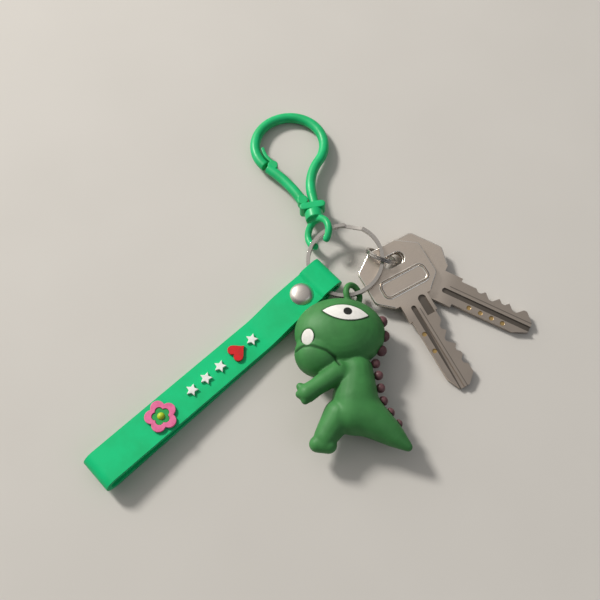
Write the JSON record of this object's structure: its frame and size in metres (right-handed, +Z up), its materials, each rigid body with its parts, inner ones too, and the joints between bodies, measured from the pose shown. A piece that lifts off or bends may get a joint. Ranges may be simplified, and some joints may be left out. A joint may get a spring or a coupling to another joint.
{
  "type": "keychain",
  "caption": "Keychain: split ring with a swivel snap hook, a folded wrist strap, a moulded dinosaur charm and a link ring with keys.",
  "frame": {"origin": "centre of the bounding box on the table plane", "axes": "+Z up from the table, +X toward the keys' side along the longest extent, +Y toward the snap hook"},
  "size_m": [0.1457, 0.1397, 0.0169],
  "materials": {
    "ring_nickel": "nickel plated, lightly scratched",
    "hook_plastic": "glossy moulded",
    "strap_silicone": "satin moulded silicone",
    "rivet_nickel": "brushed",
    "star_silicone": "satin",
    "heart_silicone": "satin",
    "petal_silicone": "satin",
    "flower_green_silicone": "satin",
    "bead_silicone": "satin",
    "charm_skin": "matte moulded soft PVC",
    "charm_eye_white": "satin",
    "charm_pupil_black": "satin",
    "charm_tooth_white": "satin",
    "charm_spine_pink": "matte",
    "key_nickel": "nickel plated, worn"
  },
  "bodies": {
    "key_ring": {"key_ring": "ring_nickel"},
    "swivel_eye": {"swivel_eye": "hook_plastic"},
    "hook": {"hook_body": "hook_plastic"},
    "gate": {"hook_gate": "hook_plastic"},
    "strap": {"strap_band": "strap_silicone", "rivet_cap": "rivet_nickel", "rivet_post": "rivet_nickel", "rivet_back": "rivet_nickel", "strap_stars": "star_silicone", "strap_heart": "heart_silicone", "flower_petals": "petal_silicone", "flower_centre": "flower_green_silicone", "flower_bead": "bead_silicone"},
    "charm": {"charm_body": "charm_skin", "charm_eyelet": "charm_skin", "charm_eye": "charm_eye_white", "charm_pupil": "charm_pupil_black", "charm_tooth": "charm_tooth_white", "charm_spines": "charm_spine_pink"},
    "link_ring": {"link_ring": "ring_nickel"},
    "front_key": {"front_key": "key_nickel"},
    "back_key": {"back_key": "key_nickel"}
  },
  "joints": [
    {"name": "eye_swing", "type": "hinge", "parent": "key_ring", "child": "swivel_eye", "pos_m": [0.00222, 0.0173, 0.00645], "axis": [0.9806, 0.1959, 0], "range_deg": [0, 60]},
    {"name": "hook_swivel", "type": "hinge", "parent": "swivel_eye", "child": "hook", "pos_m": [-0.0007, 0.02829, 0.0048], "axis": [-0.1955, 0.9782, -0.0697], "continuous": true},
    {"name": "gate_flex", "type": "hinge", "parent": "hook", "child": "gate", "pos_m": [-0.00414, 0.03096, 0.00457], "axis": [0.0137, -0.0683, -0.9976], "range_deg": [0, 18], "stiffness_Nm_per_rad": 0.02},
    {"name": "strap_slide", "type": "hinge", "parent": "key_ring", "child": "strap", "pos_m": [0.0103, 0.0075, 0.00644], "axis": [-0.1072, -0.0892, 0.9902], "range_deg": [-30, 0]},
    {"name": "charm_swing", "type": "hinge", "parent": "key_ring", "child": "charm", "pos_m": [0.01272, -0.00497, 0.00558], "axis": [-0.9976, 0.0698, 0], "range_deg": [0, 60]},
    {"name": "link_slide", "type": "hinge", "parent": "key_ring", "child": "link_ring", "pos_m": [0.0103, 0.0075, 0.00644], "axis": [-0.1072, -0.0892, 0.9902], "range_deg": [-5, 45]},
    {"name": "front_key_turn", "type": "hinge", "parent": "link_ring", "child": "front_key", "pos_m": [0.0268, 0.00762, 0.00542], "axis": [-0.0038, -0.1012, 0.9949], "range_deg": [-5, 35]},
    {"name": "back_key_turn", "type": "hinge", "parent": "link_ring", "child": "back_key", "pos_m": [0.02716, 0.00744, 0.00302], "axis": [-0.0089, -0.0929, 0.9956], "range_deg": [-15, 30]}
  ]
}
